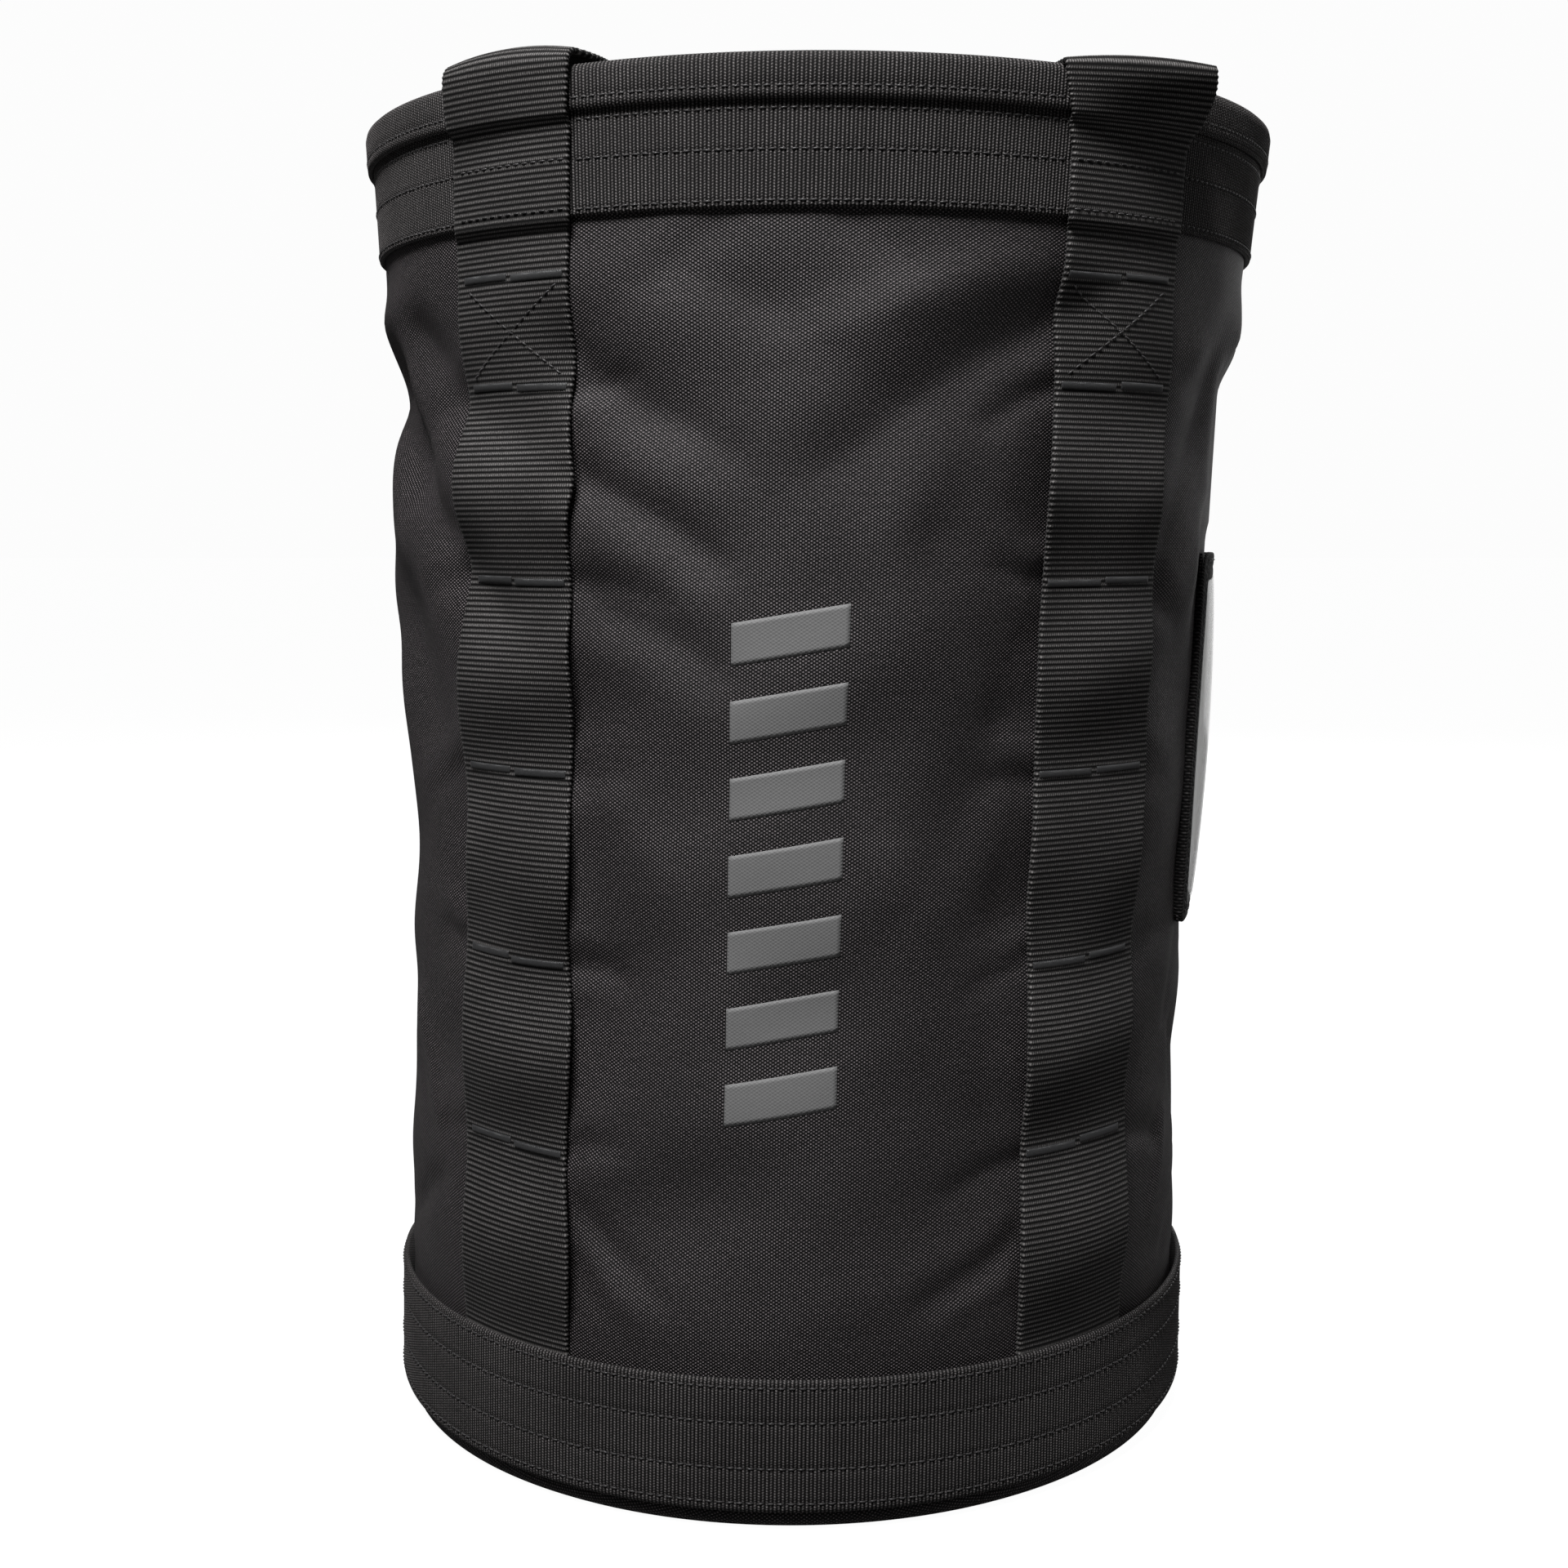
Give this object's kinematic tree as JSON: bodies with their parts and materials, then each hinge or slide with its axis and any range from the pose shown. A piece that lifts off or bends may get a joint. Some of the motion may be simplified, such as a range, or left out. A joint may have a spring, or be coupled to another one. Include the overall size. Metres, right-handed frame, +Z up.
{
  "type": "rope storage bag",
  "caption": "Round black bucket bag for a climbing or rigging rope, with webbing bands at rim and base, daisy-chain straps, two top handles and a clear ID pocket.",
  "frame": {"origin": "centre of the underside of the floor panel, on the surface the bag stands on", "axes": "+Z up along the bag's axis, -Y the front with the printed mark, +X the side with the ID pocket"},
  "size_m": [0.3332, 0.3332, 0.4898],
  "materials": {
    "coated_fabric": "heavy black polyester weave with a coated inside",
    "webbing": "black ribbed polyester webbing, slight sheen",
    "binding_tape": "black ribbed binding tape",
    "thread": "bonded black sewing thread, satin",
    "stiffener_plastic": "flexible black sheet plastic",
    "foam_pad": "black closed-cell foam",
    "clear_vinyl": "clear flexible vinyl",
    "card": "plain pale card",
    "print_ink": "grey screen-printed ink"
  },
  "bodies": {
    "bag": {"body_panel": "coated_fabric", "back_seam_tape": "binding_tape", "base_panel": "coated_fabric", "base_pad": "foam_pad", "base_seam_binding": "binding_tape", "base_band": "webbing", "base_band_stitching": "thread", "rim_band": "webbing", "rim_binding": "binding_tape", "rim_hoop": "stiffener_plastic", "rim_stitching": "thread", "front_left_strap": "webbing", "front_right_strap": "webbing", "back_left_strap": "webbing", "back_right_strap": "webbing", "front_left_bar_tacks": "thread", "front_right_bar_tacks": "thread", "back_left_bar_tacks": "thread", "back_right_bar_tacks": "thread", "front_left_stitching": "thread", "front_right_stitching": "thread", "back_left_stitching": "thread", "back_right_stitching": "thread", "id_pocket_backing": "coated_fabric", "id_pocket_border": "binding_tape", "id_pocket_stitching": "thread", "id_window": "clear_vinyl", "base_tie_loop": "webbing", "rim_tie_loop": "webbing", "tie_loop_tacks": "thread", "front_print": "print_ink"},
    "left_handle": {"left_handle": "webbing"},
    "right_handle": {"right_handle": "webbing"},
    "id_card": {"id_card": "card"}
  },
  "joints": [
    {"name": "left_handle_swing", "type": "hinge", "parent": "bag", "child": "left_handle", "pos_m": [-0.0985, 0, 0.471], "axis": [0, 1, 0], "range_deg": [-20, 75]},
    {"name": "right_handle_swing", "type": "hinge", "parent": "bag", "child": "right_handle", "pos_m": [0.0985, 0, 0.471], "axis": [0, -1, 0], "range_deg": [-20, 75]},
    {"name": "id_card_slide", "type": "slide", "parent": "bag", "child": "id_card", "axis": [0.0523, 0, 0.9986], "range_m": [0, 0.07]}
  ]
}
